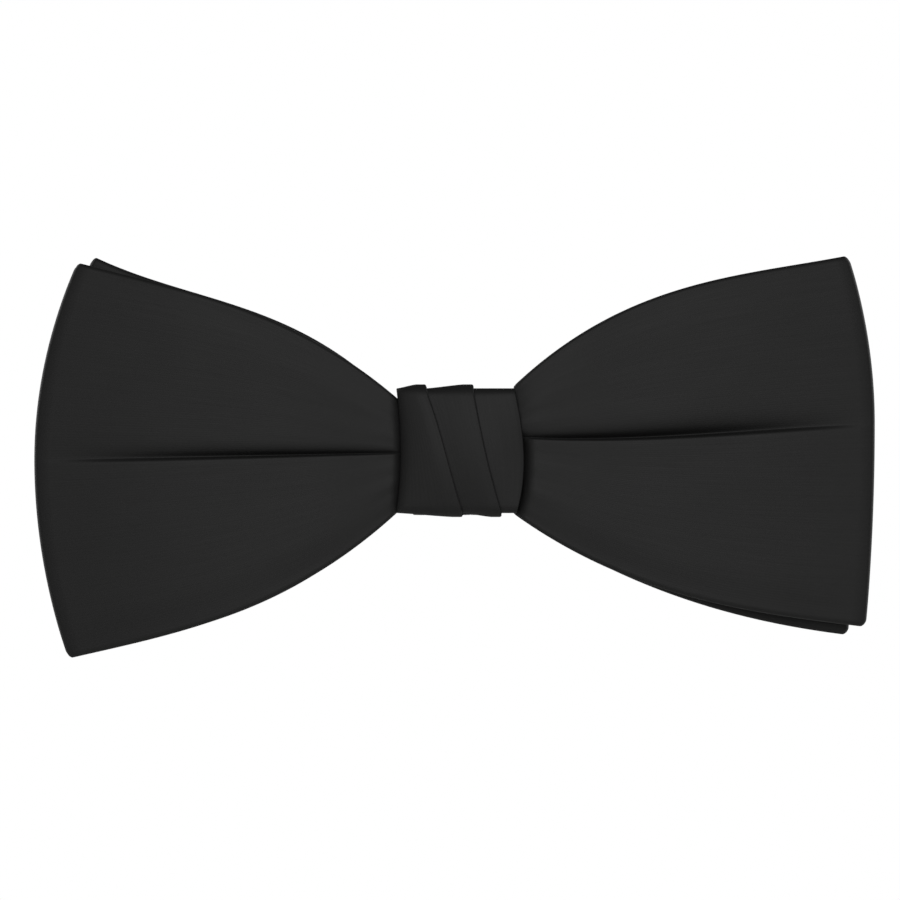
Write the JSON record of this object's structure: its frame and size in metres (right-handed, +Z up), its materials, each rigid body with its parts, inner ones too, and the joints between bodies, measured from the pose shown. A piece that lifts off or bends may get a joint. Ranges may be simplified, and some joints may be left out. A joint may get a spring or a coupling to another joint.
{
  "type": "clip-on bow tie",
  "caption": "Pre-tied satin bow tie of two lined fabric tiers gathered under a pleated knot, held on a collar by a double-ended spring clip.",
  "frame": {"origin": "centre of the flat back of the knot, where it lies against the shirt collar", "axes": "+X to the viewer's right across the bow, +Z up, +Y back towards the wearer's neck, so the front faces -Y"},
  "size_m": [0.12, 0.0229, 0.0571],
  "materials": {
    "satin": "black polyester satin, soft sheen",
    "interlining": "undyed stiffening canvas, matt",
    "thread": "black sewing thread",
    "nickel_plate": "nickel-plated stamped steel, satin bright",
    "spring_steel": "drawn spring wire and pin stock"
  },
  "bodies": {
    "bow": {"rear_bow_satin": "satin", "rear_bow_interlining": "interlining", "rear_bow_tacking_thread": "thread", "front_bow_satin": "satin", "front_bow_interlining": "interlining", "front_bow_tacking_thread": "thread", "knot_wrap_satin": "satin", "knot_interlining": "interlining", "knot_pad": "interlining", "knot_closing_stitch": "thread", "clip_base": "nickel_plate", "right_hinge_pin": "spring_steel", "left_hinge_pin": "spring_steel", "right_torsion_spring": "spring_steel", "left_torsion_spring": "spring_steel", "right_clip_tack": "thread", "left_clip_tack": "thread"},
    "right_lever": {"right_clip_lever": "nickel_plate"},
    "left_lever": {"left_clip_lever": "nickel_plate"}
  },
  "joints": [
    {"name": "right_clip_hinge", "type": "hinge", "parent": "bow", "child": "right_lever", "pos_m": [0.023, 0.0003, 0], "axis": [0, 0, 1], "range_deg": [0, 22], "stiffness_Nm_per_rad": 0.06, "springref_deg": -40.11, "deforming": ["right_torsion_spring"]},
    {"name": "left_clip_hinge", "type": "hinge", "parent": "bow", "child": "left_lever", "pos_m": [-0.023, 0.0003, 0], "axis": [0, 0, -1], "range_deg": [0, 22], "stiffness_Nm_per_rad": 0.06, "springref_deg": -40.11, "deforming": ["left_torsion_spring"]}
  ]
}
